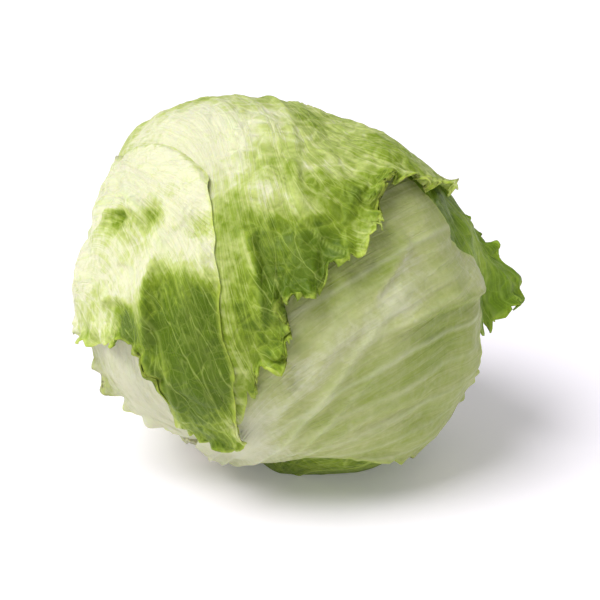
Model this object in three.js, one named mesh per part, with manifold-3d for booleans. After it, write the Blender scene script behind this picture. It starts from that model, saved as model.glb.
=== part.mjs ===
// A head of crisp lettuce as cut and trimmed: a stem, a dense heart and eight wrapper leaves.
// Millimetres, +Z up. The origin is on the surface it rests on, below the head's centre.
// It rests on the flat spot under the bottom leaf, with the cut stem low on the left.
import * as THREE from "three";
import { mergeVertices } from "three/addons/utils/BufferGeometryUtils.js";
import Module from "manifold-3d";

const wasm = await Module();
wasm.setup();

// Driving dimensions of the head. Places on it are [longitude, latitude] in degrees as seen from its
// centre: longitude 0 is the front (-Y), 90 the right (+X).
const CENTRE_HEIGHT = 80; // head's centre above the surface
const HEART_FLOOR = 7; // the heart is flattened at this height
const FLATTENING = 1.5; // roundness of the edge of that flat
const GIRTH_TILT = 20; // degrees that the plane of the girth leans back from upright
const GIRTH = [82, 77.5, 71, 75, 80.5, 77.5, 78, 77.5, 71.5, 72.5, 83, 88]; // radii, from +X over the top
const DEPTH_RADIUS = 80; // radius towards the front and the back
const LUMPS = [
  // [longitude, latitude, spread in degrees, height]
  [-95, -71, 20, -6], // hollow round the stem
  [-80, 62, 16, 3], // left shoulder
  [-109, 42, 14, 6],
  [-95, 14, 12, -4], // dent below it
  [-74, 33, 7, -4], // creases in the left shoulder
  [-56, 31, 6, -3.5],
  [-41, 33, 5, -3],
  [-23, 34, 6, -2],
  [-48, 40, 9, 1.5],
  [-58, 22, 9, 2],
  [70, 50, 14, 2], // swellings on the right
  [45, 20, 12, 1.5],
  [115, 20, 18, 2],
  [170, 35, 20, 3], // and at the back
  [-150, 0, 22, 2.5],
  [20, -60, 15, -3.5],
];

// Driving dimensions of the stem, a cone whose tip would be at the head's centre
const BUTT = [-95, -71]; // where it comes out
const STEM_ANGLE = 10.3; // degrees from its axis to its side
const STEM_TOP = 24; // where it ends inside, from the head's centre
const STEM_CUT = 79.5; // where it is cut across, from the head's centre
const STEM_SIDES = 28;
const SOCKET_GAP = 0.5; // clearance round it in the heart
const SOCKET_END = 120; // past the heart's surface

// Driving dimensions of the heart's packed leaves
const HEART_MESH = [30, 20]; // parts round it and from pole to pole
const HEART_LEAVES = 5; // inner leaves whose edges show round it
const HEART_STEP = 1.6; // how far each edge stands over the next leaf

// Driving dimensions of the wrapper leaves
const BLADE = 1; // thickness of a leaf
const PITCH = 2.75; // from one leaf to the next that lies over it
const COVER_FROM = 5; // degrees past a leaf's edge where the leaf over it starts to sink
const COVER_TO = 14; // degrees past the edge where it lies on the next leaf in
const FREE_FROM = 3.5; // degrees past an outer leaf's edge where a leaf can start to lift
const FREE_TO = 10;
const BASE_ANGLE = 11.3; // degrees from the stem's axis to a leaf's foot
const EDGE_CUT = 0.02; // how far the margin is notched, as a share of the leaf's length
const CUT_FROM = 0.8; // share of the length above which the notching moves the blade
const MIDRIB = 2.4; // how far the middle rib stands out at the foot
const SIDE_RIB = 1.2; // and the ribs beside it
const RIB_WIDTH = 0.022; // of a rib, as a share of the leaf's width
const FRILL_DEPTH = 14; // width of the waved band along an edge
const FRILL_FROM = 0.3; // share of the length below which the sides are straight
const FRILL_TO = 0.6;
const SIDE_WAVES = 4; // half waves up a leaf's side
const FOLD_EDGE = 2.5; // degrees in which a fold drops on its low side
const SAMPLES = 48; // parts each way of the grid that stands for a leaf's cover

// Leaves from the innermost to the outermost. foot: the arc of the stem that the leaf grows from, in
// degrees round its axis from the front towards the right. rows: lines across the leaf on its way up,
// then its margin, as [longitude, latitude]. bands: rows of the mesh from each line to the next.
// ribs: where the middle rib and those beside it run, as shares of the leaf's width.
// frill: height and number of the margin's waves.
// lifts: places that stand off the head, as [longitude, latitude, spread in degrees, height].
// folds: lines where the blade steps up on the right, seen along the path, and sinks back over a reach
// in degrees.
const LEAVES = [
  {
    name: "back_right_leaf",
    foot: [70, 150],
    rows: [
      [[45, -50], [100, -42], [150, -50]],
      [[60, -30], [66, -8], [80, 8], [100, 18], [125, 20], [150, 12], [168, -10]],
    ],
    bands: [4, 6],
    columns: 18,
    ribs: [0.5, 0.2, 0.35, 0.65, 0.8],
    frill: [2.5, 7],
    colour: "#b9c890",
  },
  {
    name: "back_left_leaf",
    foot: [205, 305],
    rows: [
      [[-160, -48], [-110, -42], [-62, -46]],
      [[-165, -12], [-140, 8], [-110, 16], [-85, 10], [-68, 2], [-54, -16]],
    ],
    bands: [4, 6],
    columns: 18,
    ribs: [0.5, 0.2, 0.35, 0.65, 0.8],
    frill: [2.5, 7],
    colour: "#bccb92",
  },
  {
    name: "flared_leaf",
    foot: [140, 190],
    rows: [
      [[138, -34], [155, -30], [172, -32]],
      [[122, 4], [138, 22], [158, 32]],
      [[112, 22], [97, 42], [72, 50]],
      [
        [112, 12], [106, 9], [100, 4], [96, -3], [90, -8], [84, -11], [76, -11], [68, -6], [62, 6],
        [60, 22], [60, 36],
      ],
    ],
    bands: [4, 4, 3, 7],
    columns: 20,
    ribs: [0.5, 0.3, 0.7],
    frill: [3, 8],
    lifts: [[95, -3, 11, 19], [102, 12, 9, 6], [97, 7, 7, -6], [106, 14, 9, -3]],
    colour: "#7d9c38",
  },
  {
    name: "bottom_leaf",
    foot: [35, 145],
    rows: [
      [[0, -70], [60, -84], [175, -72]],
      [[2, -56], [60, -64], [140, -60]],
      [
        [-2, -40], [18, -33], [38, -34], [56, -40], [63, -46], [75, -45], [95, -38], [115, -38],
        [130, -44], [145, -56],
      ],
    ],
    bands: [5, 3, 4],
    columns: 22,
    ribs: [0.5, 0.25, 0.75],
    frill: [1.5, 8],
    lifts: [[-90, -88, 14, 8], [75, -80, 24, 6]],
    colour: "#a3b56a",
  },
  {
    name: "left_leaf",
    foot: [-80, -5],
    rows: [
      [[-50, -42], [-38, -36], [-20, -38]],
      [[-62, -24], [-68, -10], [-72, 4], [-62, 18], [-45, 25], [-28, 20], [-17, 2]],
    ],
    bands: [4, 6],
    columns: 18,
    ribs: [0.55, 0.2, 0.35, 0.75],
    frill: [2, 8],
    colour: "#c8d3a6",
  },
  {
    name: "right_leaf",
    foot: [-38, 38],
    rows: [
      [[-24, -28], [2, -10], [16, -18], [14, -36], [10, -43]],
      [[-16, 12], [25, 28], [42, 8], [48, -16], [40, -41]],
      [
        [-12, 32], [15, 46], [42, 50], [60, 42], [67, 28], [67, 20], [76, 12], [80, 3],
        [80, -3], [69, -4], [68, -12], [75, -21], [88, -30], [92, -40], [78, -48], [60, -44],
      ],
    ],
    bands: [4, 5, 5],
    columns: 32,
    ribs: [0.44, 0.2, 0.32, 0.56, 0.68, 0.8],
    frill: [1, 12],
    lifts: [[-34, -57, 7, 4]],
    folds: [{ path: [[74, 1], [62, 5], [52, 6], [42, 5], [32, 4], [22, 1]], height: 2, reach: 9 }],
    colour: "#b3bf93",
  },
  {
    name: "cap_leaf",
    foot: [185, 275],
    rows: [
      [[176, -38], [-145, -30], [-104, -40]],
      [[165, 5], [-165, 22], [-108, 10]],
      [[160, 52], [130, 70], [20, 78], [-70, 70], [-102, 33]],
      [[165, 32], [110, 45], [60, 52], [20, 48], [0, 38], [-12, 34], [-35, 50], [-94, 31]],
      [
        [162, 12], [135, 14], [108, 22], [82, 29], [66, 33], [52, 36], [42, 41], [36, 36],
        [32, 28], [23, 23], [15, 18], [7, 12], [0, 12], [5, 5], [5, -2], [-3, -8], [-4, -15],
        [-10, -24], [-18, -18], [-23, 0], [-28, 22], [-48, 36], [-84, 30],
      ],
    ],
    bands: [3, 4, 5, 3, 7],
    columns: 42,
    ribs: [0.5, 0.2, 0.3, 0.4, 0.6, 0.7],
    frill: [3.5, 16],
    colour: "#9db855",
  },
  {
    name: "drape_leaf",
    foot: [240, 325],
    rows: [
      [[-152, -28], [-125, -20], [-108, -42]],
      [[-140, 8], [-98, 34], [-62, 32], [-66, 10], [-100, -24]],
      [[-125, 20], [-80, 44], [-45, 42], [-28, 25], [-30, 5], [-45, 8], [-66, 2], [-98, -20]],
      [
        [-130, 24], [-110, 34], [-92, 40], [-76, 48], [-58, 53], [-38, 52], [-24, 46], [-18, 34],
        [-14, 22], [-12, 8], [-9, -8], [-9, -22], [-7, -31], [-14, -36], [-24, -34], [-31, -30],
        [-28, -18], [-30, -6], [-36, -2], [-44, -3], [-52, -5], [-60, -8], [-74, -9], [-90, -16],
        [-106, -30],
      ],
    ],
    bands: [4, 6, 4, 6],
    columns: 40,
    ribs: [0.45, 0.25, 0.35, 0.6, 0.75],
    frill: [3, 18],
    folds: [
      {
        path: [[-30, -32], [-27, -17], [-29, -9], [-33, 0], [-33, 12], [-34, 22]],
        height: 3.5,
        reach: 9,
      },
    ],
    colour: "#a9c064",
  },
];

const { degToRad, radToDeg, lerp, clamp, smoothstep } = THREE.MathUtils;
const CENTRE = new THREE.Vector3(0, 0, CENTRE_HEIGHT);

// The unit vector at a longitude and latitude.
function direction(longitude, latitude) {
  const [a, b] = [degToRad(longitude), degToRad(latitude)];
  return new THREE.Vector3(Math.sin(a) * Math.cos(b), -Math.cos(a) * Math.cos(b), Math.sin(b));
}

const stemAxis = direction(...BUTT);
const acrossStem = new THREE.Vector3(1, 0, 0).addScaledVector(stemAxis, -stemAxis.x).normalize();
const frontOfStem = new THREE.Vector3().crossVectors(stemAxis, acrossStem).normalize();

// The unit vector at an angle from the stem's axis, on the side given by the turn round it.
function aroundStem(turn, angle) {
  const [a, b] = [degToRad(turn), degToRad(angle)];
  return stemAxis.clone().multiplyScalar(Math.cos(b))
    .addScaledVector(frontOfStem, Math.sin(b) * Math.cos(a))
    .addScaledVector(acrossStem, Math.sin(b) * Math.sin(a));
}

const line = (points) => new THREE.CatmullRomCurve3(points, false, "catmullrom", 0.5);

const tilt = degToRad(GIRTH_TILT);
const girthUp = new THREE.Vector3(0, Math.sin(tilt), Math.cos(tilt));
const girthBack = new THREE.Vector3(0, Math.cos(tilt), -Math.sin(tilt));
const girthCurve = new THREE.CatmullRomCurve3(
  GIRTH.map((radius) => new THREE.Vector3(radius, 0, 0)), true, "catmullrom", 0.5,
);
const lumps = LUMPS.map(([lon, lat, spread, height]) => ({ at: direction(lon, lat), spread, height }));

// Radius of the heart's surface in a direction from the head's centre.
function heartRadius(d) {
  const [x, y, z] = [d.x, d.dot(girthUp), d.dot(girthBack)];
  const girth = girthCurve.getPoint((Math.atan2(y, x) / (2 * Math.PI) + 1) % 1).x;
  let radius = 1 / Math.sqrt((x * x + y * y) / girth ** 2 + z ** 2 / DEPTH_RADIUS ** 2);
  for (const lump of lumps) {
    const away = radToDeg(d.angleTo(lump.at)) / lump.spread;
    radius += lump.height * Math.exp(-away * away);
  }
  const toFloor = d.z < 0 ? (CENTRE_HEIGHT - HEART_FLOOR) / -d.z : Infinity;
  return -FLATTENING * Math.log(Math.exp(-radius / FLATTENING) + Math.exp(-toFloor / FLATTENING));
}

// A leaf's surface as directions from the head's centre: s runs from its foot to its margin, t across.
function leafDirection(leaf) {
  const curves = leaf.rows.map((row) => line(row.map(([lon, lat]) => direction(lon, lat))));
  return (s, t) => {
    const foot = aroundStem(lerp(leaf.foot[0], leaf.foot[1], t), BASE_ANGLE);
    return line([foot, ...curves.map((curve) => curve.getPoint(t))]).getPoint(s).normalize();
  };
}

for (const leaf of LEAVES) {
  leaf.at = leafDirection(leaf);
  leaf.samples = [];
  for (let i = 0; i <= SAMPLES; i++)
    for (let j = 0; j <= SAMPLES; j++) leaf.samples.push(leaf.at(i / SAMPLES, j / SAMPLES));
}

// Degrees from a direction to the nearest part of a leaf.
function degreesOff(leaf, d) {
  let nearest = -1;
  for (const sample of leaf.samples) nearest = Math.max(nearest, sample.dot(d));
  return radToDeg(Math.acos(Math.min(1, nearest)));
}

// How far a leaf lies over the heart's surface: one pitch for each leaf under it.
function layerHeight(order, d) {
  let height = PITCH;
  for (const under of LEAVES.slice(0, order))
    height += PITCH * (1 - smoothstep(degreesOff(under, d), COVER_FROM, COVER_TO));
  return height;
}

// 1 where no outer leaf holds a leaf down, 0 where one does.
function freedom(order, d) {
  let free = 1;
  for (const over of LEAVES.slice(order + 1)) free *= smoothstep(degreesOff(over, d), FREE_FROM, FREE_TO);
  return free;
}

// An uneven wave from -1 to 1 along an edge.
const wave = (x, seed) => 0.6 * Math.sin(x + seed) + 0.4 * Math.sin(1.7 * x + 2.3 * seed);

// Degrees from a direction to a path, below 0 on its left side.
function degreesAside(d, path) {
  let best = { off: Infinity, side: 1 };
  for (let i = 0; i + 1 < path.length; i++) {
    const [a, b] = [direction(...path[i]), direction(...path[i + 1])];
    const along = b.clone().sub(a);
    const share = clamp(d.clone().sub(a).dot(along) / along.lengthSq(), 0, 1);
    const off = radToDeg(d.angleTo(a.clone().addScaledVector(along, share)));
    const side = Math.sign(along.clone().cross(d).dot(a)) || 1;
    if (off < best.off) best = { off, side };
  }
  return best.off * best.side;
}

// How far a fold raises a direction: fully on its line, nothing just past its low side.
function foldHeight(fold, d) {
  const aside = degreesAside(d, fold.path);
  const away = aside < 0 ? aside / FOLD_EDGE : aside / fold.reach;
  return fold.height * Math.exp(-away * away);
}

// How far the ribs stand out of a leaf's outer face.
function ribHeight(leaf, order, d, s, t) {
  let height = 0;
  for (const [i, place] of leaf.ribs.entries()) {
    const away = (t - place) / RIB_WIDTH;
    height += (i === 0 ? MIDRIB : SIDE_RIB) * (1 - s) * Math.exp(-away * away);
  }
  return height * freedom(order, d);
}

// The waves of the margin, the folds and the places that stand off, as a height over the leaf's rest.
function lift(leaf, order, d, s, t) {
  const [height, waves] = leaf.frill;
  const edges = [leaf.at(1, t), leaf.at(s, 0), leaf.at(s, 1)];
  const toEdge = CENTRE_HEIGHT * Math.min(...edges.map((edge) => d.angleTo(edge)));
  const band = (1 - smoothstep(toEdge, 0, FRILL_DEPTH)) * smoothstep(s, FRILL_FROM, FRILL_TO);
  let up = height * band * (0.5 + 0.5 * wave((t * waves + s * SIDE_WAVES) * Math.PI, order));
  for (const [lon, lat, spread, rise] of leaf.lifts ?? []) {
    const away = radToDeg(d.angleTo(direction(lon, lat))) / spread;
    up += rise * Math.exp(-away * away);
  }
  for (const fold of leaf.folds ?? []) up += foldHeight(fold, d);
  return up * freedom(order, d);
}

// A closed solid between an outer and an inner sheet of points, rows by columns, both split alike.
function solidBetween(outer, inner) {
  const [rows, columns] = [outer.length, outer[0].length];
  const [lastRow, lastColumn] = [rows - 1, columns - 1];
  const points = [...outer.flat(), ...inner.flat()];
  const at = (side, i, j) => side * rows * columns + i * columns + j;
  const faces = [];
  const quad = (a, b, c, d) => faces.push(a, b, c, a, c, d);
  for (let i = 0; i < lastRow; i++)
    for (let j = 0; j < lastColumn; j++) {
      quad(at(0, i, j), at(0, i, j + 1), at(0, i + 1, j + 1), at(0, i + 1, j));
      faces.push(at(1, i, j), at(1, i + 1, j + 1), at(1, i, j + 1));
      faces.push(at(1, i, j), at(1, i + 1, j), at(1, i + 1, j + 1));
    }
  for (let j = 0; j < lastColumn; j++) {
    quad(at(1, 0, j), at(1, 0, j + 1), at(0, 0, j + 1), at(0, 0, j));
    quad(at(0, lastRow, j), at(0, lastRow, j + 1), at(1, lastRow, j + 1), at(1, lastRow, j));
  }
  for (let i = 0; i < lastRow; i++) {
    quad(at(0, i, 0), at(0, i + 1, 0), at(1, i + 1, 0), at(1, i, 0));
    quad(at(0, i, lastColumn), at(1, i, lastColumn), at(1, i + 1, lastColumn), at(0, i + 1, lastColumn));
  }
  return new THREE.BufferGeometry()
    .setAttribute("position", new THREE.Float32BufferAttribute(points.flatMap((p) => p.toArray()), 3))
    .setIndex(faces);
}

// The places up a leaf where its mesh has a row.
function meshRows(leaf) {
  const places = [0];
  leaf.bands.forEach((rows, band) => {
    for (let i = 1; i <= rows; i++) places.push((band + i / rows) / leaf.bands.length);
  });
  return places;
}

// The direction of a leaf's blade, drawn back from the margin where that is notched.
function bladeDirection(leaf, order, s, t) {
  const cut = EDGE_CUT * (0.5 + 0.5 * wave(t * leaf.frill[1] * 2 * Math.PI, order + 2));
  return leaf.at(s * (1 - cut * smoothstep(s, CUT_FROM, 1)), t);
}

// One wrapper leaf as a thin blade that follows what lies under it.
function leafSolid(leaf, order) {
  const outer = [];
  const inner = [];
  for (const s of meshRows(leaf)) {
    const [outerRow, innerRow] = [[], []];
    for (let j = 0; j <= leaf.columns; j++) {
      const t = j / leaf.columns;
      const d = bladeDirection(leaf, order, s, t);
      const middle = heartRadius(d) + layerHeight(order, d) + lift(leaf, order, d, s, t);
      const out = CENTRE.clone().addScaledVector(d, middle + BLADE / 2 + ribHeight(leaf, order, d, s, t));
      const into = CENTRE.clone().addScaledVector(d, middle - BLADE / 2);
      out.z = Math.max(out.z, 0);
      into.z = Math.max(into.z, BLADE);
      outerRow.push(out);
      innerRow.push(into);
    }
    outer.push(outerRow);
    inner.push(innerRow);
  }
  return solidBetween(outer, inner);
}

// A three.js geometry as a manifold solid.
function toSolid(geometry) {
  const bare = geometry.clone();
  bare.deleteAttribute("normal");
  bare.deleteAttribute("uv");
  const merged = mergeVertices(bare);
  return new wasm.Manifold(new wasm.Mesh({
    numProp: 3,
    vertProperties: merged.getAttribute("position").array,
    triVerts: new Uint32Array(merged.index.array),
  }));
}

// A manifold solid as a three.js geometry.
function toGeometry(solid) {
  const { vertProperties, triVerts } = solid.getMesh();
  return new THREE.BufferGeometry()
    .setAttribute("position", new THREE.BufferAttribute(vertProperties, 3))
    .setIndex(new THREE.BufferAttribute(triVerts, 1));
}

// The stem's cone from one distance from the head's centre to another, with a domed inner end.
function stemCone(from, to, widerBy) {
  const slope = Math.tan(degToRad(STEM_ANGLE));
  const profile = [
    new THREE.Vector2(0, from),
    new THREE.Vector2(0.7 * from * slope + widerBy, from + 1.5),
    new THREE.Vector2((from + 8) * slope + widerBy, from + 8),
    new THREE.Vector2(to * slope + widerBy, to),
    new THREE.Vector2(0, to),
  ];
  const outwards = new THREE.Quaternion().setFromUnitVectors(new THREE.Vector3(0, 1, 0), stemAxis);
  const cone = new THREE.LatheGeometry(profile, STEM_SIDES);
  return cone.applyQuaternion(outwards).translate(...CENTRE.toArray());
}

// The heart: a round body of packed leaves, each edge over the next leaf, with a socket for the stem.
function heartSolid() {
  const [around, down] = HEART_MESH;
  const ball = new THREE.SphereGeometry(1, around, down).rotateX(Math.PI / 2);
  const position = ball.getAttribute("position");
  for (let i = 0; i < position.count; i++) {
    const d = new THREE.Vector3().fromBufferAttribute(position, i).normalize();
    const round = (Math.atan2(d.y, d.x) / (2 * Math.PI) + 1 + 0.5 / around) % 1;
    const step = HEART_STEP * ((round * HEART_LEAVES) % 1) * Math.hypot(d.x, d.y);
    const p = CENTRE.clone().addScaledVector(d, heartRadius(d) - step);
    position.setXYZ(i, ...p.toArray());
  }
  const socket = stemCone(STEM_TOP - SOCKET_GAP, SOCKET_END, SOCKET_GAP);
  return toSolid(ball).subtract(toSolid(socket));
}

function material(colour, roughness) {
  return new THREE.MeshStandardMaterial({ color: colour, roughness, metalness: 0 });
}

const lettuce = new THREE.Group();
function add(name, geometry, look) {
  const mesh = new THREE.Mesh(geometry, look);
  mesh.name = name;
  lettuce.add(mesh);
}

add("stem", stemCone(STEM_TOP, STEM_CUT, 0), material("#e6e4c4", 0.55));
add("heart", toGeometry(heartSolid()), material("#cfdba6", 0.45));
LEAVES.forEach((leaf, order) => add(leaf.name, leafSolid(leaf, order), material(leaf.colour, 0.45)));

export default lettuce;
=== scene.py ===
"""A head of crisp lettuce: fine wrapper leaves, the heart and the cut stem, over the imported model."""
import math

import bpy
import numpy as np
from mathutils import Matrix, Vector


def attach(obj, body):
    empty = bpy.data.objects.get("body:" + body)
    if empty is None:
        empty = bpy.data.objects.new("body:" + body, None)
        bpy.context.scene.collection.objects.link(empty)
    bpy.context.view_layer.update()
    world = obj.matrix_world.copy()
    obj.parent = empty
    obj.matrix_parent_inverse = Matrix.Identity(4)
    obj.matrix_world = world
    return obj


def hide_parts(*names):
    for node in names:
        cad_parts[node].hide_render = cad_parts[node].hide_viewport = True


MM = 0.001  # sizes below are in millimetres, and the scene is in metres

# Driving dimensions of the head, as in the part's source. Places on it are (longitude, latitude) in
# degrees as seen from its centre: longitude 0 is the front (-Y), 90 the right (+X).
CENTRE = np.array([0.0, 0.0, 80.0])
HEART_FLOOR = 7.0  # height of the heart's flat underside
FLATTENING = 1.5  # how softly the heart turns flat there
GIRTH_TILT = 20.0  # the girth lies in a plane tilted back by this angle
GIRTH = [82, 77.5, 71, 75, 80.5, 77.5, 78, 77.5, 71.5, 72.5, 83, 88]  # radii from the right over the top
DEPTH_RADIUS = 80.0
LUMPS = [
    # longitude, latitude, spread in degrees, height
    (-95, -71, 20, -6),
    (-80, 62, 16, 3),
    (-109, 42, 14, 6),
    (-95, 14, 12, -4),
    (-74, 33, 7, -4),
    (-56, 31, 6, -3.5),
    (-41, 33, 5, -3),
    (-23, 34, 6, -2),
    (-48, 40, 9, 1.5),
    (-58, 22, 9, 2),
    (70, 50, 14, 2),
    (45, 20, 12, 1.5),
    (115, 20, 18, 2),
    (170, 35, 20, 3),
    (-150, 0, 22, 2.5),
    (20, -60, 15, -3.5),
]
BUTT = (-95, -71)  # where the cut stem comes out of the head
PITCH = 2.75  # from one leaf's layer to the next
COVER_FROM, COVER_TO = 5.0, 14.0  # degrees beside a leaf over which outer leaves come down
FREE_FROM, FREE_TO = 3.5, 10.0  # degrees beside an outer leaf over which a leaf comes free
BASE_ANGLE = 11.3  # degrees from the stem's axis to the feet of the leaves
EDGE_CUT = 0.02  # depth of a margin's waves along the blade, as a share of its length
CUT_FROM = 0.8  # the share of the blade that they leave as it is
MIDRIB, SIDE_RIB = 2.4, 1.2  # height of the ribs at the foot
RIB_WIDTH = 0.022  # as a share of the blade's width
FRILL_DEPTH = 14.0  # width of the waved band along a margin
FRILL_FROM, FRILL_TO = 0.3, 0.6  # shares of the blade over which the waves come up
SIDE_WAVES = 4  # half waves along each side of a blade
FOLD_EDGE = 2.5  # degrees over which a fold falls on its steep side, unless it says otherwise
SAMPLES = 48  # points each way on a leaf from which its cover is worked out

# Driving dimensions of the finer relief
BLADE = 0.6  # thickness of a leaf at its margin
FOOT_BLADE = 1.6  # and at its foot
CROWDING = 1.3  # above 1, the cells of a blade get shorter towards its margin
COVER_STEP = 2.0  # degrees between the points where a leaf's cover is worked out
FOLD_POINTS = 16  # points of the smooth line that a fold follows
FOLD_ENDS = 0.2  # the share of a fold at each end over which it fades
PAINTED_SHADE_REACH = 1.8  # how much further than a fold its painted shade goes
MARGIN_POINTS = 2000  # points of the line along a margin
MARGIN_EVEN = 8  # this many of them on each side are averaged, which rounds its corners
COVER_PARTS, MARGIN_PARTS = 16, 64  # a search for nearest points is split, to use less memory
SEED = 7

# Teeth of the margin
TOOTH_LENGTH = 5.0  # from one tooth to the next
TOOTH_SHARPNESS = 1.6
NOTCHES = 2.7  # small notches to a tooth
NOTCH_DEPTH = 0.5  # as a share of a tooth
TOOTH_FROM = 0.93  # the share of the blade that the teeth leave as it is
SHORTEST_BLADE = 20.0  # a shorter blade has teeth as if it were this long
JUST_INSIDE = 0.97  # the blade's length is reckoned from here to the margin

# Ruffles, curls and calm stretches of the margin
RUFFLE_DEPTH = 9.0  # width of the ruffled band
RUFFLE_LENGTH = 11.0  # from one ruffle to the next
RUFFLE_LIFT, RUFFLE_SWING = 0.2, 0.7  # how far ruffles raise the margin, and how far they wave it
RUFFLE_DRIFT = 1.5  # radians that ruffles wander along the margin
RUFFLE_FALL = 1.5  # above 1, ruffles keep closer to the margin
FLUTTER = 0.5  # the share of a ruffle that is uneven
CURL_WIDTH = 5.0  # width of the strip that curls up
CURL_LENGTH = 26.0  # from one curl to the next
CURL_SHARE = 0.3  # more than 0 curls more than half of the margin
LEAST_TURN = 0.001  # in radians, so that a flat margin has a curl to divide by
SETTLE = 1.9  # how far a calm margin sinks onto the leaf below
SETTLE_DEPTH = 14.0  # over this width
RIM_WIDTH = 1.6  # width of the bright rim: partly the margin's yellow-green, partly a painted highlight
LIVELIEST = 3.0  # times the usual ruffles, teeth and curls, at most

# Relief of the tissue between the veins
WARP = 4.0  # how far the blisters and wrinkles are bent
BLISTERS, BLISTER_LEVEL = 0.9, 0.4  # height of the blisters, and the level that stays where it is
COCKLES = 0.6  # height of the broad unevenness
SMALL_SHARE = 0.5  # height of small blisters and cockles, as a share of large ones
WRINKLES, WRINKLE_SHARPNESS = 0.8, 7
HELD_RELIEF = 0.3  # the share of the relief that stays where an outer leaf holds the blade down
LARGE_PATCH, SMALL_PATCH = 0.2, 0.1  # how much greener or paler the tissue is from patch to patch

# Veins
WIDEST_REACH = 1.6  # radians from where veins fan out to where they are furthest apart
VEIN_RANKS = [
    # times as many veins, the way along the blade where they start, strength
    (1, 0.0, 1.0),
    (2, 0.8, 0.35),
]
VEIN_START = 0.2  # the way over which a vein begins
VEIN_VARIETY = 0.45  # how much weaker some veins are
BLADE_MIDDLE = (0.7, 0.5)  # the place along and across a blade that its fan of veins points at
VEIN_SWAYS = [
    # units of turn, size in millimetres, seed
    (0.05, 25, 10),
    (0.012, 8, 11),
]

# The shares of the blade, from foot to margin, over which each thing comes up
RAISED = (0.1, 0.4)  # the relief of the tissue
RUFFLED = (0.4, 0.7)  # the ruffles
SETTLED = (0.3, 0.5)  # the sinking of calm stretches
CURLED = (0.5, 0.8)  # the curls
RIMMED = (0.3, 0.6)  # the bright rim, partly a painted highlight
THINNED = (0, 0.5)  # the thinning of the blade

# Uneven patterns, as size in millimetres and seed
DRIFTS = (9, 8)  # the wandering of the ruffles
FLUTTERS = (3.5, 9)  # their unevenness
WARP_SIZE, WARP_SEEDS = 14, (2, 3, 4)
LARGE_BLISTERS, SMALL_BLISTERS = (9, 5), (4, 6)
LARGE_COCKLES, SMALL_COCKLES = (22, 12), (11, 13)
WRINKLE_LINES = (19, 15)
LARGE_PATCHES, SMALL_PATCHES = (16, 7), (6, 14)
TOOTH_SEED, NOTCH_SEED, VEIN_SEED = 0, 1, 16
SCATTER = np.array([374761393, 668265263, 1440662683])  # large odd numbers that scatter the noise
SCATTER_SEED, SCATTER_MIX = 974711, 1274126177
LOW_BITS = 0xFFFFFFFF
CUT_PHASE, CURL_PHASE = 2, 5  # of the waves and curls of a margin, in radians
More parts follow.
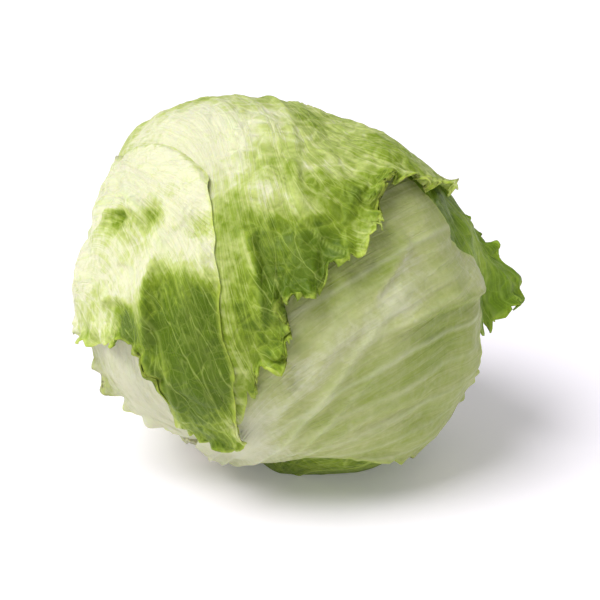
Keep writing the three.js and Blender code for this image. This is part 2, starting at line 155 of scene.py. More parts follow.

# The leaves from the innermost to the outermost. foot, rows, ribs, frill, lifts and folds are as in the
# part's source. The other values are finer than its solids:
# grid: cells from foot to margin and across the blade
# look: the material
# tone: 0 is pale and 1 is green all over
# spots: where it is greener or paler, as (longitude, latitude, spread, amount). A few are painted
# highlights and painted shade, as said where they are listed
# crinkle: height of the blisters, cockles and wrinkles
# ruffle, curl and tooth: height of the ruffles, degrees that a curl turns, depth of the teeth
# life: where the margin is livelier or calmer than 1, as spots
# fan: main veins to each unit of turn
# vein_span: the units of turn across the blade, the units along it, and how far the veins lean
# veins_from and bend: a place that the veins fan out from instead, and how much they bend
# rib_height and vein_width: height and half width of a main vein
# creases: fine folds, as (path, height, reach, edge, shade). A fold rises by its height along its path.
# It falls over reach degrees on its gentle side and edge degrees on its steep side. Its shade is painted
# shade and painted light: it makes the gentle side greener and the steep side paler, or the reverse where
# it is less than 0, so that the side that turns away from the lamp looks shaded.
# eases: where the blade is pushed out or in, as spots
LEAVES = [
    {
        "name": "back_right_leaf",
        "foot": [70, 150],
        "rows": [
            [[45, -50], [100, -42], [150, -50]],
            [[60, -30], [66, -8], [80, 8], [100, 18], [125, 20], [150, 12], [168, -10]],
        ],
        "ribs": [0.5, 0.2, 0.35, 0.65, 0.8],
        "frill": [2.5, 7],
        "grid": [90, 120],
        "look": "pale",
        "tone": 0.35,
        "spots": [],
        "crinkle": 0.5,
        "ruffle": 2.0,
        "curl": 60,
        "tooth": 2.0,
        "life": [],
        "fan": 9,
        "vein_span": (2.0, 1.4, 0.0),
        "rib_height": 0.4,
        "vein_width": 1.2,
    },
    {
        "name": "back_left_leaf",
        "foot": [205, 305],
        "rows": [
            [[-160, -48], [-110, -42], [-62, -46]],
            [[-165, -12], [-140, 8], [-110, 16], [-85, 10], [-68, 2], [-54, -16]],
        ],
        "ribs": [0.5, 0.2, 0.35, 0.65, 0.8],
        "frill": [2.5, 7],
        "grid": [90, 120],
        "look": "pale",
        "tone": 0.35,
        "spots": [],
        "crinkle": 0.5,
        "ruffle": 2.0,
        "curl": 60,
        "tooth": 2.0,
        "life": [],
        "fan": 9,
        "vein_span": (2.0, 1.4, 0.0),
        "rib_height": 0.4,
        "vein_width": 1.2,
    },
    {
        "name": "flared_leaf",
        "foot": [140, 190],
        "rows": [
            [[138, -34], [155, -30], [172, -32]],
            [[122, 4], [138, 22], [158, 32]],
            [[112, 22], [97, 42], [72, 50]],
            [
                [112, 12], [106, 9], [100, 4], [96, -3], [90, -8], [84, -11], [76, -11], [68, -6], [62, 6],
                [60, 22], [60, 36],
            ],
        ],
        "ribs": [0.5, 0.3, 0.7],
        "frill": [3, 8],
        "lifts": [[95, -3, 11, 19], [102, 12, 9, 6], [97, 7, 7, -6], [106, 14, 9, -3]],
        "grid": [170, 150],
        "look": "deep",
        "tone": 0.8,
        "spots": [(84, 10, 8, -0.2)],
        "crinkle": 1.4,
        "ruffle": 3.0,
        "curl": 90,
        "tooth": 2.5,
        "life": [(95, -3, 20, 0.4)],
        "fan": 3,
        "vein_span": (2.2, 2.4, 0.0),
        "rib_height": 0.4,
        "vein_width": 0.7,
    },
    {
        "name": "bottom_leaf",
        "foot": [35, 145],
        "rows": [
            [[0, -70], [60, -84], [175, -72]],
            [[2, -56], [60, -64], [140, -60]],
            [
                [-2, -40], [18, -33], [38, -34], [56, -40], [63, -46], [75, -45], [95, -38], [115, -38],
                [130, -44], [145, -56],
            ],
        ],
        "ribs": [0.5, 0.25, 0.75],
        "frill": [1.5, 8],
        "lifts": [[-90, -88, 14, 8], [75, -80, 24, 6]],
        "grid": [90, 160],
        "look": "green",
        "tone": 0.85,
        "spots": [],
        "crinkle": 0.3,
        "ruffle": 1.5,
        "curl": 0,
        "tooth": 1.5,
        "life": [],
        "fan": 7,
        "vein_span": (2.4, 1.0, 0.0),
        "rib_height": 0.3,
        "vein_width": 1.0,
    },
    {
        "name": "left_leaf",
        "foot": [-80, -5],
        "rows": [
            [[-50, -42], [-38, -36], [-20, -38]],
            [[-62, -24], [-68, -10], [-72, 4], [-62, 18], [-45, 25], [-28, 20], [-17, 2]],
        ],
        "ribs": [0.55, 0.2, 0.35, 0.75],
        "frill": [2, 8],
        "grid": [140, 150],
        "look": "pale",
        "tone": -0.05,
        "spots": [(-66, -14, 9, 0.25), (-60, -26, 8, 0.2)],
        "crinkle": 0.3,
        "ruffle": 2.5,
        "curl": 80,
        "tooth": 2.5,
        "life": [(-66, -10, 16, 0.35)],
        "fan": 6,
        "veins_from": (-35, -66),
        "bend": 0.0,
        "rib_height": 0.7,
        "vein_width": 1.5,
    },
    {
        "name": "right_leaf",
        "foot": [-38, 38],
        "rows": [
            [[-24, -28], [2, -10], [16, -18], [14, -36], [10, -43]],
            [[-16, 12], [25, 28], [42, 8], [48, -16], [40, -41]],
            [
                [-12, 32], [15, 46], [42, 50], [60, 42], [67, 28], [67, 20], [76, 12], [80, 3],
                [80, -3], [69, -4], [68, -12], [75, -21], [88, -30], [92, -40], [78, -48], [60, -44],
            ],
        ],
        "ribs": [0.44, 0.2, 0.32, 0.56, 0.68, 0.8],
        "frill": [1, 12],
        "lifts": [[-34, -57, 7, 4]],
        "folds": [{"path": [[74, 1], [62, 5], [52, 6], [42, 5], [32, 4], [22, 1]], "height": 2, "reach": 9}],
        "grid": [170, 260],
        "look": "pale",
        "tone": 0.48,
        "spots": [
            (44, 23, 14, -0.05), (75, 0, 12, -0.15), (30, -12, 9, 0.12), (45, -30, 12, 0.08),
            (-22, -42, 20, -0.6), (-9, -28, 6, -0.2), (-3, -21, 6, -0.2), (2, -15, 6, -0.2),
            (7, -8, 6, -0.22), (12, -2, 6, -0.22), (18, 3, 6, -0.22), (25, 7, 6, -0.22),
            (33, 10, 6, -0.15), (20, 20, 8, 0.1), (47, -4, 9, 0.28),
        ],
        "crinkle": 0.25,
        "ruffle": 1.5,
        "curl": 40,
        "tooth": 1.5,
        "life": [(80, 0, 22, -1.0), (75, 20, 12, -0.6)],
        "fan": 5,
        "veins_from": (-24, -50),
        "bend": 0.3,
        "rib_height": 0.6,
        "vein_width": 1.4,
        "creases": [
            ([[-20, -46], [-9, -28], [2, -15], [12, -2], [25, 8], [40, 12]], 2.0, 4, 3.0, 0.0),
            ([[30, 3], [40, 6], [52, 7], [66, 6], [78, 3], [88, -1]], 3.4, 7, 1.3, -0.12),
            ([[10, -24], [30, -20], [50, -16]], 1.2, 5, 2.0),
            ([[26, 12], [36, 20], [46, 27]], 1.6, 5, 1.6, 0.15),
            ([[0, -36], [24, -34], [50, -30]], 1.2, 6, 2.5),
            ([[56, -22], [70, -10], [74, 2]], 1.2, 5, 2.0),
        ],
        "eases": [(82, 2, 16, -2)],
    },
    {
        "name": "cap_leaf",
        "foot": [185, 275],
        "rows": [
            [[176, -38], [-145, -30], [-104, -40]],
            [[165, 5], [-165, 22], [-108, 10]],
            [[160, 52], [130, 70], [20, 78], [-70, 70], [-102, 33]],
            [[165, 32], [110, 45], [60, 52], [20, 48], [0, 38], [-12, 34], [-35, 50], [-94, 31]],
            [
                [162, 12], [135, 14], [108, 22], [82, 29], [66, 33], [52, 36], [42, 41], [36, 36],
                [32, 28], [23, 23], [15, 18], [7, 12], [0, 12], [5, 5], [5, -2], [-3, -8], [-4, -15],
                [-10, -24], [-18, -18], [-23, 0], [-28, 22], [-48, 36], [-84, 30],
            ],
        ],
        "ribs": [0.5, 0.2, 0.3, 0.4, 0.6, 0.7],
        "frill": [3.5, 16],
        "grid": [190, 230],
        "look": "green",
        "tone": 0.46,
        # The small pale spots along the crest, near latitude 40, are a painted highlight. The greener spots
        # below it, at latitudes 22 to 32, are partly the leaf's own green and partly painted shade where it
        # turns down.
        "spots": [
            (5, 28, 11, 0.26), (-4, 22, 10, 0.26), (24, 32, 10, 0.22), (-1, 5, 11, 0.5),
            (-5, 42, 4, -0.3), (2, 41, 4, -0.35), (9, 39, 4, -0.25), (-30, 66, 18, -0.36),
            (60, 45, 16, 0.25), (15, 20, 9, 0.45), (-6, -14, 7, 0.2), (3, 50, 8, 0.1),
            (-50, 58, 16, -0.44), (-80, 52, 14, -0.35), (24, 50, 14, 0.12), (-2, 12, 5, 0.35),
            (15, 37, 7, 0.15),
        ],
        "crinkle": 1.0,
        "ruffle": 3.0,
        "curl": 110,
        "tooth": 3.5,
        "life": [
            (-84, 34, 18, -1.0), (-60, 36, 16, -0.7), (52, 36, 14, 0.9), (-4, -8, 14, 0.8),
            (10, 12, 9, 0.4), (36, 36, 6, 0.4), (76, 31, 9, -0.8),
        ],
        "fan": 2.5,
        "vein_span": (4.2, 3.2, 1.2),
        "rib_height": 0.3,
        "vein_width": 0.55,
        "creases": [
            ([[-14, 46], [-6, 43], [4, 41], [12, 37], [24, 34]], 2.6, 9, 2.2, -0.12),
            ([[-2, 6], [-3, 17], [-6, 28], [-8, 33]], 3.2, 4, 1.4, -0.22),
            ([[2, 4], [2, 12], [-1, 20]], 2.2, 3, 1.4, -0.2),
            ([[-9, 4], [-10, 14], [-12, 24]], 1.2, 3, 1.6, -0.1),
            ([[8, 10], [11, 18], [9, 27], [3, 33]], 1.8, 5, 2.4),
            ([[58, 36], [50, 44], [38, 52]], 2.0, 7, 2.2, 0.12),
            ([[-24, 74], [0, 66], [20, 58]], 1.6, 8),
            ([[36, 40], [28, 46], [16, 52]], 1.4, 5, 2.0, 0.12),
        ],
    },
    {
        "name": "drape_leaf",
        "foot": [240, 325],
        "rows": [
            [[-152, -28], [-125, -20], [-108, -42]],
            [[-140, 8], [-98, 34], [-62, 32], [-66, 10], [-100, -24]],
            [[-125, 20], [-80, 44], [-45, 42], [-28, 25], [-30, 5], [-45, 8], [-66, 2], [-98, -20]],
            [
                [-130, 24], [-110, 34], [-92, 40], [-76, 48], [-58, 53], [-38, 52], [-24, 46], [-18, 34],
                [-14, 22], [-12, 8], [-9, -8], [-9, -22], [-7, -31], [-14, -36], [-24, -34], [-31, -30],
                [-28, -18], [-30, -6], [-36, -2], [-44, -3], [-52, -5], [-60, -8], [-74, -9], [-90, -16],
                [-106, -30],
            ],
        ],
        "ribs": [0.45, 0.25, 0.35, 0.6, 0.75],
        "frill": [3, 18],
        "folds": [
            {
                "path": [[-30, -32], [-27, -17], [-29, -9], [-33, 0], [-33, 12], [-34, 22]],
                "height": 3.5,
                "reach": 9,
            },
        ],
        "grid": [170, 220],
        "look": "green",
        "tone": 0.0,
        # The small green spots at latitudes 30 to 33 sit in the dents that the eases push in: partly the
        # leaf's own green and partly painted shade in the dents.
        "spots": [
            (-24, 8, 9, 0.7), (-20, -12, 14, 1.15), (-20, -30, 9, 0.6), (-39, 3, 7, 1.2),
            (-13, 0, 10, 0.7), (-58, 30, 4, 0.55), (-41, 33, 3.5, 0.75), (-23, 33, 4, 0.5),
            (-57, -4, 10, 0.35), (-28, 20, 5, 0.15), (-31, 15, 5, 0.3), (-21, 17, 6, 0.45),
            (-48, 28, 5, 0.1), (-45, 10, 14, 0.15), (-15, 14, 6, 0.5), (-66, 24, 6, 0.15),
            (-12, -32, 6, 0.4),
        ],
        "crinkle": 0.9,
        "ruffle": 3.0,
        "curl": 80,
        "tooth": 3.0,
        "life": [
            (-76, 48, 20, -1.0), (-38, 52, 18, -1.0), (-20, 38, 14, -1.0), (-13, 18, 14, -1.0),
            (-10, 0, 14, -0.9), (-9, -16, 8, -0.5), (-105, 30, 20, -1.0), (-98, -18, 24, -1.0),
            (-31, -20, 10, -0.9),
        ],
        "fan": 3,
        "vein_span": (3.8, 2.8, 0.0),
        "rib_height": 0.4,
        "vein_width": 0.55,
        "creases": [
            ([[-30, -16], [-32, -4], [-33, 6], [-34, 16], [-34, 27]], 2.4, 5, 1.4, -0.2),
            ([[-20, 41], [-28, 46], [-38, 50], [-58, 51], [-76, 46], [-92, 38]], 2.4, 5, 1.3, -0.15),
            ([[-52, 36], [-47, 33], [-44, 24]], 2.4, 4, 1.4, -0.15),
            ([[-70, 27], [-62, 31], [-54, 33], [-48, 31]], 2.4, 5, 1.4, -0.2),
            ([[-26, 20], [-23, 2], [-16, -16]], 1.0, 3, 1.6, -0.1),
            ([[-33, 0], [-26, -8], [-14, -14]], 2.0, 4, 1.5, -0.2),
            ([[-56, 6], [-46, 10], [-38, 9]], 1.6, 4, 1.6, -0.15),
        ],
        "eases": [(-58, 29, 4, -2.2), (-42, 31, 3.5, -2.4), (-33, 41, 4, -1.6), (-23, 33, 3.5, -1.8)],
    },
]


def smoothstep(x, low, high):
    """0 up to low, 1 from high on, and a smooth way between."""
    x = np.clip((x - low) / (high - low), 0.0, 1.0)
    return x * x * (3.0 - 2.0 * x)


def direction(longitude, latitude):
    """The unit vector at a longitude and latitude in degrees."""
    a, b = np.radians(longitude), np.radians(latitude)
    return np.stack([np.sin(a) * np.cos(b), -np.cos(a) * np.cos(b), np.sin(b)], -1)


def unit(v):
    """Vectors brought to length 1."""
    return v / np.linalg.norm(v, axis=-1, keepdims=True)


def angle(a, b):
    """Degrees between unit vectors."""
    return np.degrees(np.arccos(np.clip((a * b).sum(-1), -1.0, 1.0)))


def smooth_way(p0, p1, p2, p3, f):
    """The smooth way from p1 to p2, with p0 before them and p3 after them."""
    m1, m2 = (p2 - p0) / 2, (p3 - p1) / 2
    return p1 + f * (m1 + f * (3 * (p2 - p1) - 2 * m1 - m2 + f * (2 * (p1 - p2) + m1 + m2)))


def spline(points, place):
    """A smooth line through points, at places from 0 to 1. Points may hold one line for each place."""
    points = np.asarray(points, float)
    first, last = 2 * points[0] - points[1], 2 * points[-1] - points[-2]
    points = np.concatenate([first[None], points, last[None]])
    x = np.clip(place, 0.0, 1.0) * (len(points) - 3)
    i = np.minimum(x.astype(int), len(points) - 4)
    f = (x - i)[..., None]
    if points.ndim == 2:
        return smooth_way(*(points[i + k] for k in range(4)), f)
    across = np.indices(place.shape)
    return smooth_way(*(points[(i + k, *across)] for k in range(4)), f)


stem_axis = direction(*BUTT)
across_stem = unit(np.array([1.0, 0, 0]) - stem_axis[0] * stem_axis)
front_of_stem = unit(np.cross(stem_axis, across_stem))


def around_stem(turn, from_axis):
    """The unit vector at an angle from the stem's axis, on the side given by the turn round it."""
    a, b = np.radians(turn)[..., None], math.radians(from_axis)
    return math.cos(b) * stem_axis + math.sin(b) * (np.cos(a) * front_of_stem + np.sin(a) * across_stem)


def heart_radius(d):
    """Radius of the heart's surface in directions from the head's centre."""
    tilt = math.radians(GIRTH_TILT)
    x = d[..., 0]
    y = d @ np.array([0, math.sin(tilt), math.cos(tilt)])
    z = d @ np.array([0, math.cos(tilt), -math.sin(tilt)])
    place = np.arctan2(y, x) / (2 * math.pi) % 1.0 * len(GIRTH)
    i, f = place.astype(int), place % 1.0
    girth = smooth_way(*(np.array(GIRTH, float)[(i + k) % len(GIRTH)] for k in (-1, 0, 1, 2)), f)
    radius = 1 / np.sqrt((x * x + y * y) / girth**2 + z * z / DEPTH_RADIUS**2)
    for longitude, latitude, spread, height in LUMPS:
        radius = radius + height * np.exp(-((angle(d, direction(longitude, latitude)) / spread) ** 2))
    to_floor = (CENTRE[2] - HEART_FLOOR) / np.maximum(-d[..., 2], 0.01)
    return -FLATTENING * np.logaddexp(-radius / FLATTENING, -to_floor / FLATTENING)


def patch(leaf, s, t):
    """Directions of a leaf's surface: s runs from its foot to its margin, t across."""
    foot = around_stem(leaf["foot"][0] + (leaf["foot"][1] - leaf["foot"][0]) * t, BASE_ANGLE)
    lines = [spline(direction(*np.array(row, float).T), t) for row in leaf["rows"]]
    return unit(spline(np.stack([foot, *lines]), s))


# A map of longitude and latitude, for how far every direction is from each leaf
map_lat, map_lon = np.meshgrid(
    np.arange(-90, 90 + COVER_STEP, COVER_STEP), np.arange(-180, 180 + COVER_STEP, COVER_STEP), indexing="ij"
)
map_directions = direction(map_lon, map_lat).reshape(-1, 3).astype(np.float32)


def cover_map(leaf):
    """Degrees from each direction of the map to a leaf."""
    s, t = np.meshgrid(np.linspace(0, 1, SAMPLES + 1), np.linspace(0, 1, SAMPLES + 1), indexing="ij")
    samples = patch(leaf, s, t).reshape(-1, 3).astype(np.float32)
    parts = np.array_split(map_directions, COVER_PARTS)
    nearest = np.concatenate([(part @ samples.T).max(1) for part in parts])
    return np.degrees(np.arccos(np.clip(nearest, -1, 1))).reshape(map_lat.shape)


def degrees_off(leaf, d):
    """Degrees from directions to the nearest part of a leaf."""
    lat = (np.degrees(np.arcsin(np.clip(d[..., 2], -1, 1))) + 90) / COVER_STEP
    lon = (np.degrees(np.arctan2(d[..., 0], -d[..., 1])) + 180) / COVER_STEP
    i = np.minimum(lat.astype(int), map_lat.shape[0] - 2)
    j = np.minimum(lon.astype(int), map_lat.shape[1] - 2)
    f, g = lat - i, lon - j
    m = leaf["cover"]
    low = m[i, j] * (1 - g) + m[i, j + 1] * g
    high = m[i + 1, j] * (1 - g) + m[i + 1, j + 1] * g
    return low * (1 - f) + high * f


def layer_height(order, d):
    """How far a leaf lies over the heart's surface."""
    height = np.full(d.shape[:-1], PITCH)
    for under in LEAVES[:order]:
        height += PITCH * (1 - smoothstep(degrees_off(under, d), COVER_FROM, COVER_TO))
    return height


def freedom(order, d):
    """1 where no outer leaf holds a leaf down, 0 where one does."""
    free = np.ones(d.shape[:-1])
    for over in LEAVES[order + 1 :]:
        free *= smoothstep(degrees_off(over, d), FREE_FROM, FREE_TO)
    return free


def wave(x, seed):
    """An uneven wave from -1 to 1."""
    return 0.6 * np.sin(x + seed) + 0.4 * np.sin(1.7 * x + 2.3 * seed)


def noise(p, seed):
    """Smooth noise from -1 to 1 over points."""
    cell = np.floor(p).astype(np.int64)
    f = p - cell
    f = f * f * (3 - 2 * f)
    total = np.zeros(p.shape[:-1])
    for corner in np.ndindex(2, 2, 2):
        h = ((cell + corner) @ SCATTER + seed * SCATTER_SEED) & LOW_BITS
        h = ((h ^ (h >> 13)) * SCATTER_MIX) & LOW_BITS
        weight = np.prod(np.where(corner, f, 1 - f), axis=-1)
        total += weight * ((h ^ (h >> 16)) / LOW_BITS)
    return 2 * total - 1


def line_noise(x, line, seed):
    """Smooth noise from -1 to 1 along one of many lines."""
    return noise(np.stack([x, 0 * x, 0 * x + line], -1), SEED + seed)


def uneven(p, size, seed):
    """Smooth noise from -1 to 1 over points, in lumps of a size in millimetres."""
    return noise(p / size, SEED + seed)


def fold_over(d, path, height, reach, edge=FOLD_EDGE, painted_shade=0.0):
    """How far a fold raises directions, fully on its line and nothing past its ends or its steep side, and
    how much greener or paler it paints them beside it: painted shade on one side and painted light on the
    other."""
    line = direction(*np.array(path, float).T)
    points = unit(spline(line, np.linspace(0, 1, FOLD_POINTS)))
    best = np.full(d.shape[:-1], np.inf)
    side = np.ones(d.shape[:-1])
    place = np.zeros(d.shape[:-1])
    for i, (a, b) in enumerate(zip(points, points[1:])):
        along = b - a
        share = np.clip(((d - a) @ along) / (along @ along), 0, 1)
        off = angle(d, unit(a + share[..., None] * along))
        nearer = off < best
        degrees_across = np.degrees(d @ unit(np.cross(a, along)))
        side = np.where(nearer, np.tanh(degrees_across * FOLD_EDGE / edge), side)
        place = np.where(nearer, (i + share) / (len(points) - 1), place)
        best = np.minimum(off, best)
    ends = smoothstep(np.minimum(place, 1 - place), 0, FOLD_ENDS)
    width = edge + (reach - edge) * (0.5 + 0.5 * side)
    # painted shade on one side of the fold and painted light on the other
    painted_shading = painted_shade * side * np.exp(-((best / (PAINTED_SHADE_REACH * reach)) ** 2))
    return height * ends * np.exp(-((best / width) ** 2)), ends * painted_shading


def spots(base, places, d):
    """A value over directions: the base, and (longitude, latitude, spread, amount) spots added to it."""
    value = np.full(d.shape[:-1], float(base))
    for longitude, latitude, spread, amount in places:
        value += amount * np.exp(-((angle(d, direction(longitude, latitude)) / spread) ** 2))
    return value


def margin_life(leaf, d):
    """How lively a leaf's margin is: 0 is calm, 1 is usual and LIVELIEST is the most."""
    return np.clip(spots(1.0, leaf["life"], d), 0.0, LIVELIEST)


def toothed_grid(leaf, order):
    """Places on a leaf from foot to margin and across it, with the margin cut into waves and teeth."""
    rows, columns = leaf["grid"]
    u, t = np.meshgrid(np.linspace(0, 1, rows + 1), np.linspace(0, 1, columns + 1), indexing="ij")
    s = 1 - (1 - u) ** CROWDING
    margin = patch(leaf, np.ones(columns + 1), t[0])
    inside = patch(leaf, np.full(columns + 1, JUST_INSIDE), t[0])
    steps = CENTRE[2] * np.radians(angle(margin[1:], margin[:-1]))
    run = np.concatenate([[0], np.cumsum(steps)])
    length = CENTRE[2] * np.radians(angle(margin, inside)) / (1 - JUST_INSIDE)
    cut = EDGE_CUT * (0.5 + 0.5 * wave(t * leaf["frill"][1] * 2 * math.pi, order + CUT_PHASE))
    tooth = 1 - TOOTH_SHARPNESS * np.abs(line_noise(run / TOOTH_LENGTH, order, TOOTH_SEED))
    tooth -= NOTCH_DEPTH * np.abs(line_noise(run / TOOTH_LENGTH * NOTCHES, order, NOTCH_SEED))
    depth = leaf["tooth"] * margin_life(leaf, margin) * np.clip(tooth, 0, 1)
    teeth = (depth / np.maximum(length, SHORTEST_BLADE))[None, :]
    return s * (1 - cut * smoothstep(s, CUT_FROM, 1) - teeth * smoothstep(s, TOOTH_FROM, 1)), t


def solid_shape(leaf, order, s, t, d):
    """The waves, lifts and folds of the solid leaf and the fine folds, and the painted shade and painted
    light that folds leave.
    """
    sides = [patch(leaf, np.ones(s.shape), t), patch(leaf, s, 0 * t), patch(leaf, s, 0 * t + 1)]
    to_side = CENTRE[2] * np.radians(np.minimum.reduce([angle(d, side) for side in sides]))
    band = (1 - smoothstep(to_side, 0, FRILL_DEPTH)) * smoothstep(s, FRILL_FROM, FRILL_TO)
    height, waves = leaf["frill"]
    swing = 0.5 + 0.5 * wave((t * waves + s * SIDE_WAVES) * math.pi, order)
    up = height * np.minimum(margin_life(leaf, d), 1) * band * swing
    up += spots(0.0, leaf.get("lifts", []) + leaf.get("eases", []), d)
    painted_shade = np.zeros(s.shape)
    folds = [fold_over(d, **fold) for fold in leaf.get("folds", [])]
    for rise, painted_shading in folds + [fold_over(d, *crease) for crease in leaf.get("creases", [])]:
        up += rise
        painted_shade += painted_shading
    return up, painted_shade


def margin_places(p):
    """How far points are from their blade's margin, and where along the margin its nearest place is."""
    line = np.concatenate([p[:, 0], p[-1], p[::-1, -1]])
    corner_run = np.concatenate([[0], np.cumsum(np.linalg.norm(np.diff(line, axis=0), axis=1))])
    run = np.linspace(0, corner_run[-1], MARGIN_POINTS)
    window = np.ones(2 * MARGIN_EVEN + 1) / (2 * MARGIN_EVEN + 1)
    evened = []
    for axis in range(3):
        dense = np.interp(run, corner_run, line[:, axis])
        evened.append(np.convolve(np.pad(dense, MARGIN_EVEN, mode="edge"), window, "valid"))
    line = np.stack(evened, -1)
    parts = np.array_split(p.reshape(-1, 3), MARGIN_PARTS)
    nearest = np.concatenate([np.argmax(part @ line.T, axis=1) for part in parts])
    distance = np.linalg.norm(line[nearest].reshape(p.shape) - p, axis=-1)
    return distance, run[nearest].reshape(distance.shape)


def margin_shape(leaf, order, s, d, p, rim, place):
    """How far ruffles, calm stretches and curls move the margin up, and how far a curl draws it back."""
    life = margin_life(leaf, d)
    ruffle_turn = place / RUFFLE_LENGTH * 2 * math.pi + RUFFLE_DRIFT * uneven(p, *DRIFTS)
    swing = wave(ruffle_turn, order) + FLUTTER * uneven(p, *FLUTTERS)
    ruffled = (1 - smoothstep(rim, 0, RUFFLE_DEPTH)) ** RUFFLE_FALL * smoothstep(s, *RUFFLED)
    up = leaf["ruffle"] * life * ruffled * (RUFFLE_LIFT + RUFFLE_SWING * swing)
    calm = np.clip(1 - life, 0, 1) * smoothstep(s, *SETTLED)
    up -= SETTLE * calm * (1 - smoothstep(rim, 0, SETTLE_DEPTH))
    curl_turn = place / CURL_LENGTH * 2 * math.pi
    curl = leaf["curl"] * life * np.clip(CURL_SHARE + wave(curl_turn, order + CURL_PHASE), 0, 1)
    turned = np.radians(curl) * smoothstep(s, *CURLED) + LEAST_TURN
    share = np.clip(1 - rim / CURL_WIDTH, 0, 1)
    up += CURL_WIDTH * (1 - np.cos(turned * share)) / turned
    return up, CURL_WIDTH * (share - np.sin(turned * share) / turned)


def vein_places(leaf, d, s, t):
    """Where a leaf's veins run: a turn that stays the same along a vein, the way along it, and millimetres
    to each unit of turn.

    A leaf with veins_from has veins that fan out from there. Any other's follow the blade from its foot."""
    if "veins_from" in leaf:
        start = direction(*leaf["veins_from"])
        middle = patch(leaf, np.array([BLADE_MIDDLE[0]]), np.array([BLADE_MIDDLE[1]]))[0]
        ahead = unit(middle - (middle @ start) * start)
        turn = np.arctan2(d @ np.cross(start, ahead), d @ ahead)
        reach = np.arccos(np.clip(d @ start, -1, 1))
        return turn + leaf["bend"] * reach**2, reach, CENTRE[2] * np.sin(np.minimum(reach, WIDEST_REACH))
    across, along, lean = leaf["vein_span"]
    width = np.linalg.norm(np.gradient(d * CENTRE[2], axis=1), axis=-1) * (d.shape[1] - 1)
    return (t - 0.5) * across + lean * s * s, s * along, width / across


def fine_veins(leaf, p, turn, reach, turn_width):
    """How strongly a vein runs through each point, from 0 to 1. Each vein has its own strength."""
    swaying = turn + sum(sway * uneven(p, size, seed) for sway, size, seed in VEIN_SWAYS)
    veins = np.zeros(turn.shape)
    for count, start, strength in VEIN_RANKS:
        lane = swaying * leaf["fan"] * count
        vein = np.round(lane)
        off = np.abs(lane - vein) / (leaf["fan"] * count) * turn_width
        own = 1 - VEIN_VARIETY + VEIN_VARIETY * line_noise(3 * vein, count, VEIN_SEED)
        begun = smoothstep(reach, start, start + VEIN_START)
        veins = np.maximum(veins, own * strength * begun * np.exp(-((off / leaf["vein_width"]) ** 2)))
    return veins


def tissue_relief(leaf, p):
    """The blisters, cockles and wrinkles of the tissue between the veins."""
    warped = p + WARP * np.stack([uneven(p, WARP_SIZE, seed) for seed in WARP_SEEDS], -1)
    blisters = np.abs(uneven(warped, *LARGE_BLISTERS))
    blisters += SMALL_SHARE * np.abs(uneven(warped, *SMALL_BLISTERS))
    cockles = uneven(p, *LARGE_COCKLES) + SMALL_SHARE * uneven(p, *SMALL_COCKLES)
    wrinkles = (1 - np.abs(uneven(warped, *WRINKLE_LINES))) ** WRINKLE_SHARPNESS
    height = BLISTERS * (blisters - BLISTER_LEVEL) + COCKLES * cockles + WRINKLES * wrinkles
    return leaf["crinkle"] * height


def foot_ribs(leaf, s, t):
    """The thick ribs of the solid leaf, highest at its foot."""
    ribs = np.zeros(s.shape)
    for i, place in enumerate(leaf["ribs"]):
        ribs += (MIDRIB if i == 0 else SIDE_RIB) * (1 - s) * np.exp(-(((t - place) / RIB_WIDTH) ** 2))
    return ribs


def leaf_sheets(leaf, order):
    """The outer and inner points of a leaf's blade, what its material reads, and where its veins run."""
    s, t = toothed_grid(leaf, order)
    d = patch(leaf, s, t)
    p = d * CENTRE[2]
    free = freedom(order, d)
    rim, place = margin_places(p)
    up, painted_shade = solid_shape(leaf, order, s, t, d)
    margin_up, pulled = margin_shape(leaf, order, s, d, p, rim, place)
    turn, reach, turn_width = vein_places(leaf, d, s, t)
    veins = fine_veins(leaf, p, turn, reach, turn_width)
    ribs = foot_ribs(leaf, s, t)
    relief = tissue_relief(leaf, p) + leaf["rib_height"] * veins
    relief *= smoothstep(s, *RAISED) * (HELD_RELIEF + (1 - HELD_RELIEF) * free)
    lie = heart_radius(d) + layer_height(order, d)
    middle = d * (lie + (up + margin_up) * free + relief)[..., None]
    middle -= unit(np.gradient(p, axis=0)) * (pulled * free)[..., None]
    normal = unit(np.cross(np.gradient(middle, axis=1), np.gradient(middle, axis=0)))
    if (normal * d).sum(-1).mean() < 0:
        normal = -normal
    blade = BLADE + (FOOT_BLADE - BLADE) * (1 - smoothstep(s, *THINNED))
    outer = CENTRE + middle + normal * (blade / 2 + ribs * free)[..., None]
    inner = CENTRE + middle - normal * (blade / 2)[..., None]
    outer[..., 2] = np.maximum(outer[..., 2], 0.0)
    inner[..., 2] = np.maximum(inner[..., 2], BLADE)
    patches = LARGE_PATCH * uneven(p, *LARGE_PATCHES) + SMALL_PATCH * uneven(p, *SMALL_PATCHES)
    values = {
        # the tone takes the painted shade and painted light that the folds leave beside them
        "tone": spots(leaf["tone"], leaf["spots"], d) + painted_shade + leaf["crinkle"] ** 0.5 * patches,
        "vein": np.clip(veins + ribs / MIDRIB, 0, 1),
        # the rim: where the material paints the margin bright, partly a painted highlight
        "rim": np.clip(1 - rim / RIM_WIDTH, 0, 1) * smoothstep(s, *RIMMED),
    }
    return outer, inner, values, (turn, reach)


def sheet_faces(index, flipped):
    """The four-cornered faces of a sheet of numbered points."""
    a, b, c, d = index[:-1, :-1], index[:-1, 1:], index[1:, 1:], index[1:, :-1]
    corners = [a, d, c, b] if flipped else [a, b, c, d]
    return np.stack(corners, -1).reshape(-1, 4)


